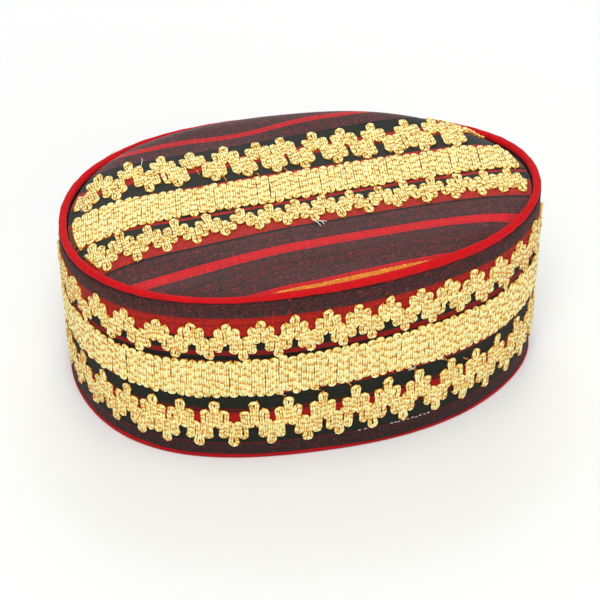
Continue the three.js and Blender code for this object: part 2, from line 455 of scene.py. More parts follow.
# Threads of each stripe: those that run along it and those that cross it.
THREADS = {
    "brown": ((122, 40, 46), (41, 36, 33)),
    # Painted shade: this brown is darker, for the foot of the wall.
    "brown_with_painted_shade": ((94, 33, 36), (33, 28, 25)),
    "black": ((31, 35, 24), (24, 28, 19)),
    "dark_red": ((130, 8, 11), (84, 9, 12)),
    "deep_red": ((168, 8, 10), (136, 8, 10)),
    "red": ((188, 8, 9), (164, 7, 9)),
    "orange_red": ((186, 36, 18), (164, 20, 12)),
    "bright_red": ((214, 14, 30), (192, 9, 20)),
    # Painted shade of gold: this colour lies under the wall's gold band, so the gaps between its cords read
    # as shaded gold.
    "painted_gold_shade_wall": ((120, 68, 24), (88, 44, 18)),
    # Painted shade of gold: this colour lies under the crown's gold band, so the gaps between its cords read
    # as shaded gold.
    "painted_gold_shade_crown": ((128, 76, 26), (92, 50, 18)),
    "yellow": ((236, 164, 46), (212, 110, 26)),
    "shadow": ((22, 18, 18), (16, 16, 16)),
}

# Stripes up the wall: each ends at a fraction of its height. The lowest, darker brown is painted shade at
# the wall's foot.
WALL_STRIPES = [
    ("brown_with_painted_shade", 0.096), ("dark_red", 0.104), ("black", 0.200), ("dark_red", 0.214), ("shadow", 0.222),
    ("red", 0.306), ("shadow", 0.316), ("dark_red", 0.332), ("black", 0.418), ("deep_red", 0.450),
    # The stripe that ends at 0.640 lies under the gold band and is painted shade of gold.
    ("painted_gold_shade_wall", 0.640), ("shadow", 0.668), ("deep_red", 0.698), ("black", 0.788), ("orange_red", 0.895),
    ("brown", 1.0),
]

# Stripes across the crown: each ends at a distance from the middle line, near side first. The stripe that
# ends at 14.6 lies under the gold band and is painted shade of gold.
CROWN_STRIPES = [
    ("bright_red", -62.0), ("yellow", -59.2), ("bright_red", -57.2), ("brown", -47.0), ("dark_red", -46.4),
    ("brown", -36.8), ("bright_red", -31.4), ("brown", -21.4), ("shadow", -20.5), ("orange_red", -10.0),
    ("black", -4.4), ("orange_red", -2.8), ("shadow", -1.6), ("painted_gold_shade_crown", 14.6), ("orange_red", 17.2),
    ("black", 26.6), ("dark_red", 27.6), ("orange_red", 33.0), ("dark_red", 33.8), ("black", 41.0),
    ("shadow", 41.6), ("brown", 48.7), ("bright_red", 52.4), ("brown", 70.0),
]

# How much the tone varies from thread to thread and rib to rib, and which rare flecks are thick slubs.
THREAD_SHARE = 0.44
RIB_TONES = (0.3, 0.84)
SLUB = {"from": 0.975, "strength": 44.0}

# The stripes drift a little: size of the drift along and across, and how far it moves them.
DRIFT = {"along": 0.03, "across": 0.02, "reach": 1.2}
CLOTH_PITCH = 0.42

# Red tape: its width, and how far its tone goes with each thread and each fleck.
TAPE_WIDTH = 12.0
TAPE_TONES = {"Thread": (0.3, 0.8), "Fleck": (0.5, 0.72)}


def striped_cloth(name, width, height, stripes, base, flecks, sheen):
    """Woven cloth whose stripes follow the piece's own map."""
    material, tree, shader = new_material(name, {
        "Roughness": 0.85, "Sheen Weight": sheen, "Sheen Roughness": 0.5, "Specular IOR Level": 0.2,
    })
    along, across = cloth_places(tree, "cloth", width, height)
    place = vector(maths("MULTIPLY", along, DRIFT["along"]), maths("MULTIPLY", across, DRIFT["across"]))
    drift = put("ShaderNodeTexNoise", {"Vector": place, "Scale": 1.0, "Detail": 1.5})
    moved = maths("MULTIPLY_ADD", maths("SUBTRACT", drift[0], 0.5), DRIFT["reach"], across)
    weave = put("ShaderNodeGroup", {"Pitch": CLOTH_PITCH, "Along": along, "Across": moved}, node_tree=WEAVE)
    fraction = maths("DIVIDE", moved, height)
    starts = [0.0] + [end for _, end in stripes[:-1]]
    both = [[(start, THREADS[dye][way]) for start, (dye, _) in zip(starts, stripes)] for way in (0, 1)]
    own, crossing = (colour_ramp(fraction, stops, "CONSTANT") for stops in both)
    bright = maths("POWER", weave["Fleck"], flecks)
    woven = put("ShaderNodeMix", {0: bright, 6: crossing, 7: own}, data_type="RGBA")[2]
    rare = maths("MAXIMUM", maths("SUBTRACT", weave["Fleck"], SLUB["from"]), 0.0)
    slub = maths("MULTIPLY", rare, SLUB["strength"])
    shade = maths("ADD", slub, maths("MULTIPLY_ADD", weave["Thread"], THREAD_SHARE, base))
    tone = maths("MULTIPLY", shade, maths("MULTIPLY_ADD", weave["Rib"], *RIB_TONES))
    finish_skin(shader, tinted(woven, tone), weave["Height"], strength=0.5, depth=0.12)
    return material


def red_tape(name, colour, pitch):
    """Plain red cloth folded over a cord or an edge, its weave on the slant."""
    material, tree, shader = new_material(name, {
        "Roughness": 0.75, "Sheen Weight": 0.04, "Sheen Roughness": 0.5, "Specular IOR Level": 0.12,
    })
    along, across = cloth_places(tree, "fold", PERIMETER, TAPE_WIDTH)
    slants = {"Along": maths("ADD", along, across), "Across": maths("SUBTRACT", along, across)}
    weave = put("ShaderNodeGroup", {"Pitch": pitch, **slants}, node_tree=WEAVE)
    tone = maths("MULTIPLY", *(maths("MULTIPLY_ADD", weave[k], *TAPE_TONES[k]) for k in TAPE_TONES))
    finish_skin(shader, tinted(srgb(*colour)[:3], tone), weave["Height"], strength=0.4, depth=0.1)
    return material


# Silky thread is patchy: how fine its patches are, and how far they shift its tone. A pinch gets painted
# shade, and the ridge of a ply gets a painted highlight.
PATCHES = {"scale": 620.0, "shift": 1.3}
PINCH_SHADE = -0.36
RIDGE_LIGHT = 0.25
SILK_STOPS = (0.15, 0.5, 0.85)


def silky_cord(name, colours, lay, roughness, crest_share, base):
    """Twisted silky thread, mapped along and round each cord. Its colours go from deep to light.
    Where the crest has a share in its tone, a cord gets painted shade down its sides and at its pinches, and
    its top is painted lighter."""
    material, tree, shader = new_material(name, {"Roughness": roughness, "Specular IOR Level": 0.7})
    parts = uv_parts(tree, "cord")
    wound = {"Length": parts[0], "Round": parts[1], "Lay": lay}
    twist = put("ShaderNodeGroup", wound, node_tree=TWIST)
    place = source(tree, "ShaderNodeTexCoord")["Object"]
    patch = put("ShaderNodeTexNoise", {
        "Vector": place, "Scale": PATCHES["scale"], "Detail": 3.0, "Roughness": 0.6,
    })
    patchy = maths("MULTIPLY_ADD", patch[0], PATCHES["shift"], base - PATCHES["shift"] / 2)
    crest = source(tree, "ShaderNodeAttribute", attribute_name="crest")["Fac"]
    pinch = source(tree, "ShaderNodeAttribute", attribute_name="pinch")["Fac"]
    # Painted shade and highlight: the tone rises with the crest, so the sides are darker and the top
    # lighter.
    lit = maths("MULTIPLY_ADD", crest, crest_share, patchy)
    full = maths("MULTIPLY_ADD", maths("POWER", pinch, 2.0), PINCH_SHADE if crest_share else 0.0, lit)
    # Painted highlight along the ridge of each ply.
    mixed = maths("MULTIPLY_ADD", twist["Ply"], RIDGE_LIGHT, full)
    colour = colour_ramp(mixed, list(zip(SILK_STOPS, colours)), "LINEAR")
    finish_skin(shader, colour, twist["Height"], strength=0.8, depth=0.2)
    return material


CROWN_WIDTH = 140.0
CROWN_LENGTH = 220.0
# The wall cloth's base tone is lower than the crown's: painted shade, since the wall gets less light than
# the crown.
WALL_CLOTH = striped_cloth("striped_wall_cloth", PERIMETER, NOMINAL_WALL, WALL_STRIPES,
                           base=0.58, flecks=3.0, sheen=0.04)
CROWN_CLOTH = striped_cloth("striped_crown_cloth", CROWN_LENGTH, CROWN_WIDTH,
                            [(dye, end / CROWN_WIDTH + 0.5) for dye, end in CROWN_STRIPES],
                            base=0.7, flecks=2.3, sheen=0.24)
PIPING_RED = red_tape("red_piping_cloth", (196, 8, 18), pitch=0.4)
BINDING_RED = red_tape("red_binding_cloth", (168, 8, 15), pitch=0.45)
GOLD = silky_cord("pale_gold_cord", [(210, 138, 26), (246, 230, 118), (252, 246, 184)],
                  lay=1.7, roughness=0.35, crest_share=0.9, base=-0.05)
WHITE = silky_cord("white_sewing_thread", [(190, 182, 170), (236, 232, 222), (250, 248, 240)],
                   lay=0.7, roughness=0.6, crest_share=0.0, base=0.5)
TIE = silky_cord("tie_thread", [(188, 94, 14), (230, 138, 30), (246, 174, 56)],
                 lay=0.7, roughness=0.5, crest_share=0.0, base=0.42)

# ---- Mesh helpers ----


def grid_piece(name, rows_of_points, rows_of_uv, uv_name, material):
    """A closed skin from a grid of points: rows run round the section, columns round the cap.
    Each row of uv has one more place than its points, so that the map runs on over the join."""
    points, uv = np.array(rows_of_points), np.array(rows_of_uv)
    rows, columns = points.shape[:2]
    row, column = np.meshgrid(np.arange(rows), np.arange(columns), indexing="ij")
    next_row, next_column = (row + 1) % rows, (column + 1) % columns
    faces = np.stack([
        row * columns + column, row * columns + next_column,
        next_row * columns + next_column, next_row * columns + column,
    ], -1).reshape(-1, 4)
    mesh = bpy.data.meshes.new(name)
    mesh.from_pydata(to_frame(points.reshape(-1, 3)).tolist(), [], faces.tolist())
    after = column + 1
    corners = np.stack([uv[row, column], uv[row, after], uv[next_row, after], uv[next_row, column]], -2)
    layer = mesh.uv_layers.new(name=uv_name)
    layer.data.foreach_set("uv", corners.reshape(-1).astype(np.float32))
    mesh.materials.append(material)
    mesh.shade_smooth()
    mesh.validate()
    face_outwards(mesh)
    return new_object(name, mesh)


def face_outwards(mesh):
    """Turns the faces of a closed skin outwards."""
    work = bmesh.new()
    work.from_mesh(mesh)
    bmesh.ops.remove_doubles(work, verts=work.verts, dist=1e-7)
    bmesh.ops.recalc_face_normals(work, faces=work.faces)
    work.to_mesh(mesh)
    work.free()


def finish(piece, slot, *nodes):
    if nodes:
        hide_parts(*nodes)
    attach(piece, "root")


# ---- Wall ----

WALL_STEPS = 400
WALL_ROWS = {"outer": 32, "inner": 10}
WALL_ENDS = {"bottom": 1.6, "below_rim": PIPING_RADIUS * 0.9}


def wall_cloth():
    """The wall's outer and inner faces, from inside the binding to inside the piping."""
    angles = round_the_cap(WALL_STEPS)
    distance = np.linspace(0, 1, WALL_STEPS + 1)
    high = rim_height(angles) - WALL_ENDS["below_rim"]
    outer = [(level, 0.0) for level in np.linspace(0, 1, WALL_ROWS["outer"])]
    inner = [(level, -WALL_THICKNESS) for level in np.linspace(1, 0, WALL_ROWS["inner"])]
    rows, maps = [], []
    for level, out in outer + inner:
        z = WALL_ENDS["bottom"] + (high - WALL_ENDS["bottom"]) * level
        rows.append(wall_point(angles, z, out))
        share = z / rim_height(angles)
        maps.append(np.stack([distance, np.append(share, share[0])], -1))
    return grid_piece("wall_cloth", rows, maps, "cloth", WALL_CLOTH)


# ---- Crown ----

CROWN_STEPS = 300
CROWN_RINGS = [(0.001, 0.84, 38), (0.855, 1, 26)]       # first reach, last reach, number of rings
FURTHEST_SHIFT = 60
HALVINGS = 24


def stripe_at(x, y):
    """Where on the middle line the stripe through a place on the crown starts."""
    low, high = y - FURTHEST_SHIFT, y + FURTHEST_SHIFT
    for _ in range(HALVINGS):
        middle = (low + high) / 2
        beyond = middle + stripe_shift(x, middle) > y
        low, high = np.where(beyond, low, middle), np.where(beyond, middle, high)
    return (low + high) / 2


def crown_cloth():
    """The puffed panel, in rings from its middle to its seam and back underneath."""
    rings = np.concatenate([np.linspace(*run) for run in CROWN_RINGS])
    angles = np.linspace(0, 2 * math.pi, CROWN_STEPS, endpoint=False)
    tucked = oval(angles, CROWN_HALF_LENGTH, CROWN_HALF_WIDTH)
    inset = crown_value("inset", tucked[:, 0], tucked[:, 1])
    edge = oval(angles, 1, 1) * np.stack([RIM_HALF_LENGTH - inset, RIM_HALF_WIDTH - inset], -1)
    along = edge[:, 0] / (RIM_HALF_LENGTH - inset)
    rows, maps = [], []
    for reach, drop in [(r, 0) for r in rings] + [(r, CROWN_THICKNESS) for r in rings[::-3]]:
        x = edge[:, 0] * reach
        y = edge[:, 1] * reach * (1 - FRONT_NARROWING * along * reach) / (1 - FRONT_NARROWING * along)
        rows.append(np.stack([x, y, crown_height(x, y) - drop], -1))
        uv = np.stack([x / CROWN_LENGTH + 0.5, stripe_at(x, y) / CROWN_WIDTH + 0.5], -1)
        maps.append(np.vstack([uv, uv[:1]]))
    return grid_piece("crown_cloth", rows, maps, "cloth", CROWN_CLOTH)


# ---- Piping and binding ----

PIPING_SIDES = 14

# The binding's section: height, and distance out from the wall. What is above 1 is its upper part.
BINDING_OUTLINE = [
    (0, -3.4), (0, -2.0), (0, -0.8), (0.15, -0.2), (0.5, 0.2), (1.0, 0.45), (1.6, 0.5), (2.3, 0.4),
    (2.6, 0.15), (2.65, -0.3), (2.6, -3.0), (2.2, -3.45), (0.6, -3.5),
]


def fold_ring(name, section, material):
    """A ring round the cap. The section gives rows of heights and distances out."""
    angles = round_the_cap(WALL_STEPS)
    rows = [wall_point(angles, z, out) for z, out in section(angles)]
    distance = np.linspace(0, 1, WALL_STEPS + 1)
    maps = [np.stack([distance, np.full(WALL_STEPS + 1, part)], -1) for part in np.linspace(0, 1, len(rows))]
    return grid_piece(name, rows, maps, "fold", material)


def uneven(angles, table):
    """A share near 1 all round the cap."""
    total = 1.0
    for row in table:
        total = total + math.prod(depth * np.sin(count * angles + start) for depth, count, start in row)
    return total


def piping_section(angles):
    radius = PIPING_RADIUS * uneven(angles, PIPING_UNEVEN)
    tall = 1 + bumps(angles, PIPING_FOLDS)
    for side in range(PIPING_SIDES):
        around = 2 * math.pi * side / PIPING_SIDES
        up = tall * math.sin(around) - np.abs(tall - 1)
        yield rim_height(angles) + radius * up, radius * math.cos(around) - PIPING_INSET


def binding_section(angles):
    tall = uneven(angles, BINDING_UNEVEN) + bumps(angles, BINDING_FOLDS)
    for z, out in BINDING_OUTLINE:
        yield z * (tall if z > 1 else np.ones_like(angles)), out


# ---- Guides for the couched cord ----

# The doubled cord of one clump, laid up and down six times. Each turn: place across in widths of the
# doubled cord, level it reaches, and whether it turns back at the clump's outer end or at its root.
CLUMP_TURNS = [(-2.0, "petal", 1), (-1.0, "root", -1), (0.0, "tip", 1), (1.0, "root", -1), (2.0, "petal", 1)]
CLUMP_SIDES = 4.9
CLUMP_FOOT = 2.0
PETAL_BULGE = 0.15

# Play of the cord: in the level of a turn, in its place along a band, in the places of ties, and in how a
# clump stands. A run between turns bows by twice its wobble, and the points of a turn wobble less.
LEVEL_PLAY = 0.35
BAND_PLAY = 0.06
TIE_PLAY = 0.22
CLUMP_PLAY = {"toe": 0.5, "lean": 0.04, "squeeze": 0.03}
RUN_BOW = 2
TURN_WOBBLE = 0.6
TURN_STEPS = 4
TAIL = {"points": 26, "sways": 5, "calms": 0.6}

# A turn's radius and height in widths of a cord. Petals and tips keep a small eye, and a tip has a neck.
TURN_RADIUS = {"edge": 0.98, "root": 0.98, "petal": 1.2, "tip": 1.42}
TURN_HEIGHT = {"edge": 0.6, "root": 0.8, "petal": 1.0, "tip": 1.1}
TIP_NECK = {"half_width": 0.94, "down": 5.6}


def pair_turn(x, y, way, cord, kind):
    """A U-turn of the doubled cord whose outer edge reaches y."""
    radius = cord * TURN_RADIUS[kind]
    tall = TURN_HEIGHT[kind]
    middle = y - way * (radius * tall + cord)
    turn = []
    for step in range(TURN_STEPS + 1):
        along = radius * math.cos(math.pi * (1 - step / TURN_STEPS))
        turn.append((x + along, middle + way * tall * radius * math.sin(math.pi * step / TURN_STEPS)))
    if kind == "tip":
        neck = y - way * cord * TIP_NECK["down"]
        half = TIP_NECK["half_width"] * cord
        turn = [(x - half, neck)] + turn + [(x + half, neck)]
    return np.array(turn)


def join_turns(turns, wobble):
    """Runs from turn to turn with a point every millimetre, each a little off its line."""
    points = []
    for here, after in zip(turns, turns[1:] + [None]):
        points.extend(here + chance.normal(0, wobble * TURN_WOBBLE, here.shape))
        if after is not None:
            gap = after[0] - here[-1]
            count = int(np.linalg.norm(gap))
            bow = chance.normal(0, wobble) * RUN_BOW
            for k in range(count):
                part = (k + 1) / (count + 1)
                bowed = here[-1] + gap * part + (bow * math.sin(math.pi * part), 0)
                points.append(bowed + chance.normal(0, wobble, 2))
    return np.array(points)


def clump_path(flip, levels, cord, lean, squeeze):
    """One clump of a zigzag: three loops on a common root, the middle one longest. Its tip is at 0."""
    low = flip * (levels["root"] + CLUMP_FOOT)
    turns = [np.array([(-CLUMP_SIDES * cord, low)])]
    for across, level, way in CLUMP_TURNS:
        reach = flip * levels[level] + chance.normal(0, LEVEL_PLAY)
        bulge = PETAL_BULGE * np.sign(across) if level == "petal" else 0.0
        turns.append(pair_turn((2 * across + bulge) * cord, reach, flip * way, cord, level))
    turns.append(np.array([(CLUMP_SIDES * cord, low)]))
    path = join_turns(turns, wobble=0.1)
    path[:, 0] = path[:, 0] * squeeze + (path[:, 1] - flip * levels["tip"]) * lean
    return path


def band_path(start, end, half_width, cord):
    """The doubled cord of a wide band, up and down across it from one end to the other."""
    count = 2 * round((end - start) / (2 * cord) / 2)
    turns = [np.array([(start, -half_width(start) + cord)])]
    for i in range(count):
        way = 1 if i % 2 == 0 else -1
        x = start + (end - start) * (i + 0.5) / count + chance.normal(0, BAND_PLAY)
        turns.append(pair_turn(x, way * half_width(x) + chance.normal(0, LEVEL_PLAY), way, cord, "edge"))
    turns.append(np.array([(end - cord, half_width(end) - cord)]))
    return join_turns(turns, wobble=0.08)


def tail_path(start, end, swing):
    """A stray run of cord that sways less and less towards its end."""
    part = np.linspace(0, 1, TAIL["points"])
    sway = swing * np.sin(part * math.pi * TAIL["sways"]) * (1 - TAIL["calms"] * part)
    run = np.array(end, float) - start
    across = np.array([-run[1], run[0]]) / np.hypot(*run)
    return start + part[:, None] * run + sway[:, None] * across


def beside(path, offset):
    """A line at an offset to the left of a flat path."""
    run = np.gradient(path, axis=0)
    run /= np.maximum(1e-9, np.linalg.norm(run, axis=1, keepdims=True))
    return path + offset[:, None] * np.stack([-run[:, 1], run[:, 0]], -1)


def along_line(places, knots, line):
    """Points of a line at places between its knots."""
    return np.stack([np.interp(places, knots, line[:, k]) for k in (0, 1)], -1)


def tie_places(path, spacing):
    """Lengths along a path at which the cord is tied down, a little unevenly."""
    total = path_length(path)[-1]
    count = max(2, int(total // spacing))
    return (np.arange(count) + 0.5 + chance.uniform(-TIE_PLAY, TIE_PLAY, count)) * total / count


def tied(path, ties, reach):
    """1 at each tie, falling to 0 at a reach from it."""
    length = path_length(path)
    near = np.abs(length[:, None] - ties[None, :]).min(axis=1)
    return 1 - ease(near / reach)


def above_wall(path, lift):
    """Points over the wall, from distance round the rim and fraction of the height."""
    angle = angle_at(path[:, 0])
    point, normal = wall_frame(angle, path[:, 1] * rim_height(angle))
    return point + normal * lift[:, None], normal


def above_crown(path, lift):
    point, normal = crown_frame(path[:, 0], path[:, 1])
    return point + normal * lift[:, None], normal


# The gold round the wall dips and climbs a little: distance round the rim, shift as a fraction of height.
GOLD_DRIFT = np.array([
    (0, 0.005), (60, 0.0), (180, 0.008), (260, 0.02), (300, 0.018), (325, 0.008), (355, -0.022),
    (385, -0.02), (425, -0.004), (460, 0.008), (520, 0.006), (PERIMETER, 0.005),
])

# On the crown no gold goes further out than this reach.
GOLD_REACH = 0.975


def on_wall(band, path, lift):
    """Flat points, millimetres along and across from the band's middle, laid on the wall."""
    drift = np.interp(np.mod(path[:, 0], PERIMETER), GOLD_DRIFT[:, 0], GOLD_DRIFT[:, 1])
    up = band["middle"] + drift + path[:, 1] / NOMINAL_WALL
    return above_wall(np.stack([path[:, 0], up], -1), lift)


def on_crown(band, path, lift):
    x = path[:, 0]
    y = band["middle"] + band["slope"] * x + path[:, 1] - left_end_bend(x)
    pull = np.minimum(1, GOLD_REACH / crown_reach(x, y))
    return above_crown(np.stack([x * pull, y * pull], -1), lift)


def guide_object(name, lines, layers):
    """One strand per line: its points, then what each layer keeps for every point."""
    mesh = bpy.data.meshes.new(name)
    points, edges = [], []
    for line in lines:
        start = len(points)
        points.extend(to_frame(line[0]))
        edges.extend((start + k, start + k + 1) for k in range(len(line[0]) - 1))
    mesh.from_pydata([tuple(p) for p in points], edges, [])
    for index, label in enumerate(layers):
        values = np.concatenate([line[index + 1] for line in lines]).astype(np.float32)
        wide = values.ndim == 2
        layer = mesh.attributes.new(label, "FLOAT_VECTOR" if wide else "FLOAT", "POINT")
        layer.data.foreach_set("vector" if wide else "value", values.reshape(-1))
    return new_object(name, mesh)


# ---- Geometry Nodes ----


def geometry_tree(name, inputs):
    guide = [("Guide", "Geometry", None)]
    return new_group(name, "GeometryNodeTree", guide + inputs, [("Piece", "Geometry")])


def end_tree(tree, geometry, material, result):
    """Realizes, smooths and paints what the tree made."""
    smooth = put("GeometryNodeSetShadeSmooth", {0: put("GeometryNodeRealizeInstances", {0: geometry})[0]})
    painted = put("GeometryNodeSetMaterial", {0: smooth[0], "Material": material})
    tree.links.new(painted[0], result[0])


def named(tree, label, kind="FLOAT_VECTOR"):
    return source(tree, "GeometryNodeInputNamedAttribute", {"Name": label}, data_type=kind)[0]


def stored(geometry, label, value, kind, domain):
    kept = {0: geometry, "Name": label, "Value": value}
    return put("GeometryNodeStoreNamedAttribute", kept, data_type=kind, domain=domain)[0]


def with_parameter(curve, label):
    """A curve that carries its own length or factor along."""
    tree = curve.id_data
    kept = add_node(tree, "GeometryNodeCaptureAttribute", {0: curve}, domain="POINT")
    kept.capture_items.new("FLOAT", label)
    tree.links.new(source(tree, "GeometryNodeSplineParameter")[label], kept.inputs[1])
    return kept.outputs


def swept(curve, section):
    """Sweeps a round section along a curve and maps it, in millimetres along and once round."""
    strand = with_parameter(curve, "Length")
    profile = with_parameter(section, "Factor")
    skin = put("GeometryNodeCurveToMesh", {0: strand[0], 1: profile[0], "Fill Caps": True})[0]
    place = vector(maths("MULTIPLY", strand[1], 1 / MM), profile[1])
    return stored(skin, "cord", place, "FLOAT2", "CORNER")


def circle(sides, radius):
    return put("GeometryNodeCurvePrimitiveCircle", {"Resolution": sides, "Radius": radius})[0]


def transformed(geometry, **changes):
    return put("GeometryNodeTransform", {0: geometry, **changes})[0]


def cord_tree():
    """A round cord along each strand of the guide. It keeps how far it faces away from the cloth."""
    tree, given, result = geometry_tree("couched_cord", [
        ("Radius", "Float", 0.0005), ("Sides", "Int", 6), ("Material", "Material", None),
    ])
    up = named(tree, "surface_normal")
    curve = put("GeometryNodeMeshToCurve", {0: given["Guide"]})[0]
    faced = put("GeometryNodeSetCurveNormal", {0: curve, "Normal": up}, mode="FREE")[0]
    thickness = named(tree, "thickness", "FLOAT")
    shaped = put("GeometryNodeSetCurveRadius", {0: faced, "Radius": thickness})[0]
    under = transformed(circle(given["Sides"], given["Radius"]), Rotation=(0, 0, math.pi))
    facing = source(tree, "GeometryNodeInputNormal")[0]
    crest = put("ShaderNodeVectorMath", {0: facing, 1: up}, operation="DOT_PRODUCT")["Value"]
    skin = stored(swept(shaped, under), "crest", crest, "FLOAT", "POINT")
    end_tree(tree, skin, given["Material"], result)
    return tree


def tie_tree():
    """Lays a small arched stitch across the doubled cord at each point of the guide."""
    tree, given, result = geometry_tree("tie_stitches", [
        ("Width", "Float", 0.002), ("Height", "Float", 0.001), ("Thread", "Float", 0.0003),
        ("Tilt", "Float", 0.4), ("Turn", "Float", 0.3), ("Seed", "Int", 3), ("Material", "Material", None),
    ])
    half_round = {"Resolution": 6, "Radius": 1.0, "Start Angle": 0.0, "Sweep Angle": math.pi}
    arc = source(tree, "GeometryNodeCurveArc", half_round)[0]
    size = vector(maths("MULTIPLY", given["Width"], 0.5), given["Height"], 1.0)
    leaning = transformed(transformed(arc, Scale=size), Rotation=vector(given["Tilt"]))
    stitch = swept(leaning, circle(4, given["Thread"]))
    axes = {0: named(tree, "surface_normal"), 1: named(tree, "run")}
    facing = put("FunctionNodeAxesToRotation", axes, primary_axis="Y", secondary_axis="Z")[0]
    swing = {"Min": maths("MULTIPLY", given["Turn"], -1.0), "Max": given["Turn"], "Seed": given["Seed"]}
    skew = put("FunctionNodeRandomValue", swing, data_type="FLOAT")[1]
    turned = put("FunctionNodeRotateRotation", {0: facing, 1: vector(0.0, skew)}, rotation_space="LOCAL")[0]
    points = put("GeometryNodeMeshToPoints", {0: given["Guide"]})[0]
    placed = put("GeometryNodeInstanceOnPoints", {0: points, "Instance": stitch, "Rotation": turned})[0]
    end_tree(tree, placed, given["Material"], result)
    return tree


CORD_TREE = cord_tree()
TIE_TREE = tie_tree()
STRAND_LAYERS = ["surface_normal", "thickness", "pinch"]


def grow(name, tree, lines, layers, **values):
    """Runs a tree on a guide made of lines and keeps what it makes as a plain mesh."""
    guide = guide_object(name + "_guide", lines, layers)
    modifier = guide.modifiers.new(tree.name, "NODES")
    modifier.node_group = tree
    sockets = {item.name: item.identifier for item in tree.interface.items_tree if item.in_out == "INPUT"}
    for label, value in values.items():
        modifier[sockets[label]] = value
    ready = guide.evaluated_get(bpy.context.evaluated_depsgraph_get())
    mesh = bpy.data.meshes.new_from_object(ready)
    mesh.name = name
    guide.modifiers.remove(modifier)
    bpy.data.objects.remove(guide)
    return new_object(name, mesh)


# ---- Gold ----

# Tips of the zigzags, up and down, where the sewer set each clump. Round the wall: distance along the rim.
# The rest of each wall zigzag carries on evenly round the far side.
LOWER_TIPS = [313, 328, 342, 354.5, 367, 382, 399, 414, 429, 443.5, 458.5, 473, 489, 502.5, 516, 531]
UPPER_TIPS = [312, 328, 343, 358, 373, 388, 402.5, 417, 431, 444, 458, 472, 485, 498, 512, 526, 540]
FRONT_TIPS = [-93, -81, -69, -57, -43, -28, -15, -3.5, 8.5, 21, 34, 45.5, 58, 70, 82, 93]
FRONT_TOES = [-86, -73, -60, -47, -34, -19.5, -7, 5, 17, 29, 42, 55, 68, 80, 90, 98.5]
REAR_TIPS = [-90, -76, -61, -48, -32, -17, -6, 9, 22, 36.5, 52, 65, 77]
REAR_TOES = [-94, -81, -66, -53, -36, -21, -8, 5, 20, 33.5, 48, 60, 75]


def reaches(tip, petal, root):
    return {"tip": tip, "petal": petal, "root": root}


BANDS = {
    "side_gold_band": {"on": on_wall, "middle": 0.548, "half": 10.4, "cord": 0.96, "tie": 4.2},
    "side_zigzag_lower": {
        "on": on_wall, "middle": 0.255, "cord": 0.96, "tie": 2.6, "tips": LOWER_TIPS, "round": 38,
        "squeeze": 0.98, "up": reaches(13.4, 8.1, -2.4), "down": reaches(13.2, 9.0, -1.4),
    },
    "side_zigzag_upper": {
        "on": on_wall, "middle": 0.783, "cord": 0.89, "tie": 2.6, "tips": UPPER_TIPS, "round": 41,
        "squeeze": 0.98, "up": reaches(10.4, 7.0, -2.0), "down": reaches(10.4, 7.0, -2.2),
    },
    "crown_gold_band": {
        "on": on_crown, "middle": 6.6, "slope": 0.083, "half": 9.3, "cord": 0.96, "tie": 3.8,
        "from": -104, "to": 99,
    },
    "crown_zigzag_front": {
        "on": on_crown, "middle": -11.6, "slope": 0.083, "cord": 0.87, "tie": 2.6, "tips": FRONT_TIPS,
        "toes": FRONT_TOES, "squeeze": 1.0, "fan": 0.33, "lean": -0.16,
        "up": reaches(8.6, 5.2, -2.6), "down": reaches(8.6, 5.3, -1.8),
    },
    "crown_zigzag_rear": {
        "on": on_crown, "middle": 29.4, "slope": 0.062, "cord": 0.95, "tie": 2.6, "tips": REAR_TIPS,
        "toes": REAR_TOES, "squeeze": 0.96, "lean": -0.17,
        "up": reaches(11.8, 8.0, -0.6), "down": reaches(12.2, 8.6, -2.4),
        "tails": [((76, 15), (94, -3), 2.0), ((79, 15.5), (95, -2), 1.2)],
    },
}

# Towards the left end the crown's gold band spreads and its front zigzag grows taller.
LEFT_SPREAD = {"band_from": -45, "zigzag_from": -30, "run": 50, "by": 2.0}

# The gold lies a little uneven, and an upright clump rises over its neighbours below this height.
UNEVEN_LIFT = {"height": 0.25, "along": 0.9, "start": 2, "across": 0.5}
OVERLAP = {"height": 0.75, "from": 0.3, "run": 6}

# A pair of cords: what each measure is between ties, how it changes at a tie, and its play, which changes
# over a few points. A tie pinches the cord as far as this reach.
PAIR = {"gap": (1.04, -0.1, 0.06), "rise": (0.82, -0.46, 0.16), "thickness": (1.12, -0.28, 0.09)}
PLAY_POINTS = 3
PINCH_REACH = 1.5


def clump_places(band):
    """Each clump's place and way up."""
    tips = list(band["tips"])
    if "round" in band:
        hidden = band["round"] - len(tips) + 1
        gap = (tips[0] + PERIMETER - tips[-1]) / hidden
        tips += [tips[-1] + gap * k for k in range(1, hidden)]
        following = tips[1:] + [tips[0] + PERIMETER]
        toes = [(a + b) / 2 + chance.normal(0, CLUMP_PLAY["toe"]) for a, b in zip(tips, following)]
    else:
        toes = band["toes"]
    return [(x, 1) for x in tips] + [(x, -1) for x in toes]


def pair_measure(kind, pinch, scale=1.0):
    """A measure of the pair at each point, with play that changes over a few points."""
    free, change, play = PAIR[kind]
    knots = chance.normal(0, 1, len(pinch) // PLAY_POINTS + 2)
    slow = np.interp(np.arange(len(pinch)) / PLAY_POINTS, np.arange(len(knots)), knots)
    return scale * (free + change * pinch) + play * slow


def pair_lines(band, path, lift, pinch):
    """The two cords of a pair, drawn together and pinched at each tie."""
    cord = band["cord"]
    lines = []
    for side in (1, -1):
        line = beside(path, pair_measure("gap", pinch, side * cord / 2))
        rise = np.maximum(0.1, lift + pair_measure("rise", pinch, cord))
        lines.append((*band["on"](band, line, rise), pair_measure("thickness", pinch), pinch))
    return lines


def tie_line(band, path, lift, ties):
    """Where each tie crosses the doubled cord, and which way the cord runs there."""
    length = path_length(path)

    def laid(places):
        return band["on"](band, along_line(places, length, path), np.interp(places, length, lift))

    step = 0.4
    place, normal = laid(ties)
    run = laid(ties + step)[0] - laid(ties - step)[0]
    run *= np.where(run[:, 2:] + run[:, 1:2] < 0, 1, -1)
    return place, normal, run


